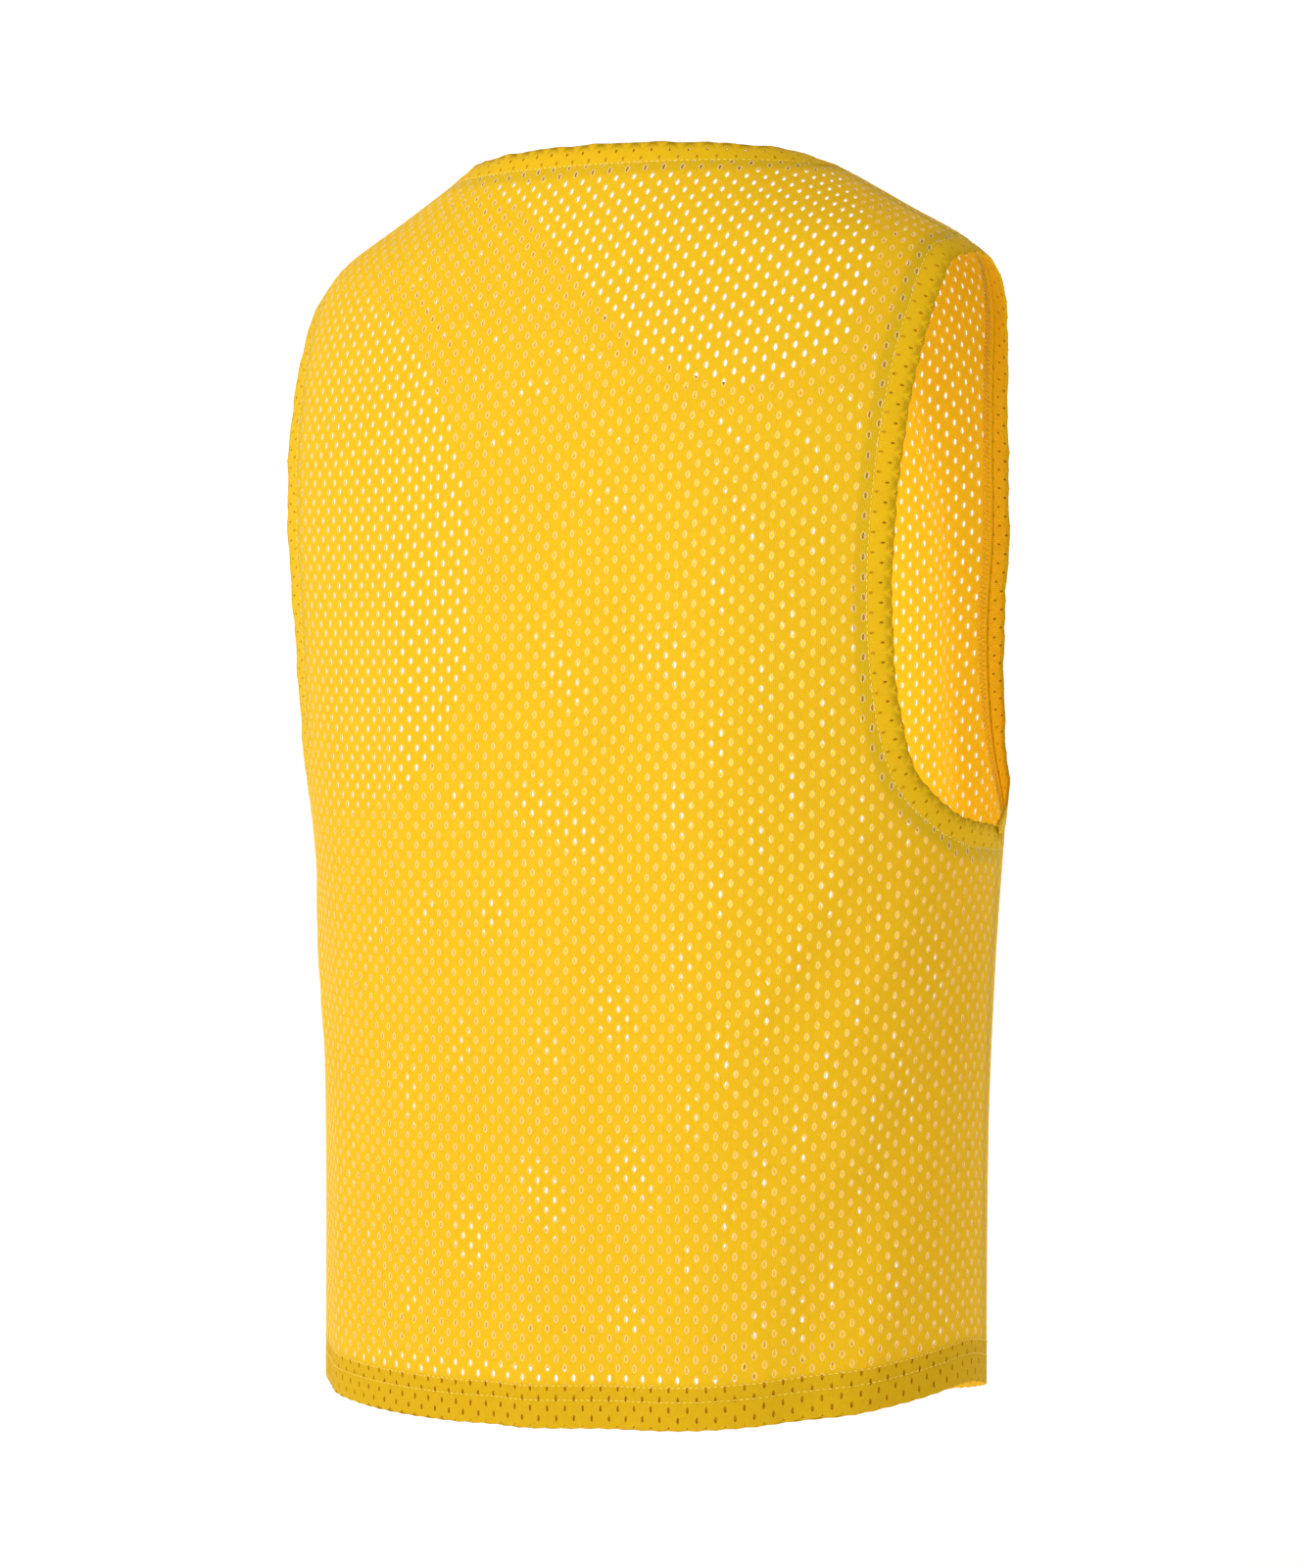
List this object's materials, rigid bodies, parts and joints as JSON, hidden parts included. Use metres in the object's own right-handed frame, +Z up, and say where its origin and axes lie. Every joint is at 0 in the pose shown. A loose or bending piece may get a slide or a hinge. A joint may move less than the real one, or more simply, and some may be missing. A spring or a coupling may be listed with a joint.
{
  "type": "mesh training bib",
  "caption": "Sleeveless mesh training bib, filled out as when worn, with bound neck and armholes and a turned-up hem, open at the bottom.",
  "frame": {"origin": "between the two neck points of the shoulders, just above the shoulder seams, where the wearer's shoulders hold the bib", "axes": "+Z up, -Y the way the wearer faces, +X towards the wearer's left side"},
  "size_m": [0.4006, 0.2396, 0.6683],
  "materials": {
    "mesh_cloth": "open polyester knit with rows of small upright oval holes, slight sheen",
    "band_cloth": "the same knit folded double, denser and matt",
    "hem_cloth": "the same knit turned up inside and stitched"
  },
  "bodies": {
    "root": {"back_panel": "mesh_cloth", "front_panel": "mesh_cloth", "neck_band": "band_cloth", "armhole_band_left": "band_cloth", "armhole_band_right": "band_cloth", "hem_turning": "hem_cloth"}
  },
  "joints": []
}
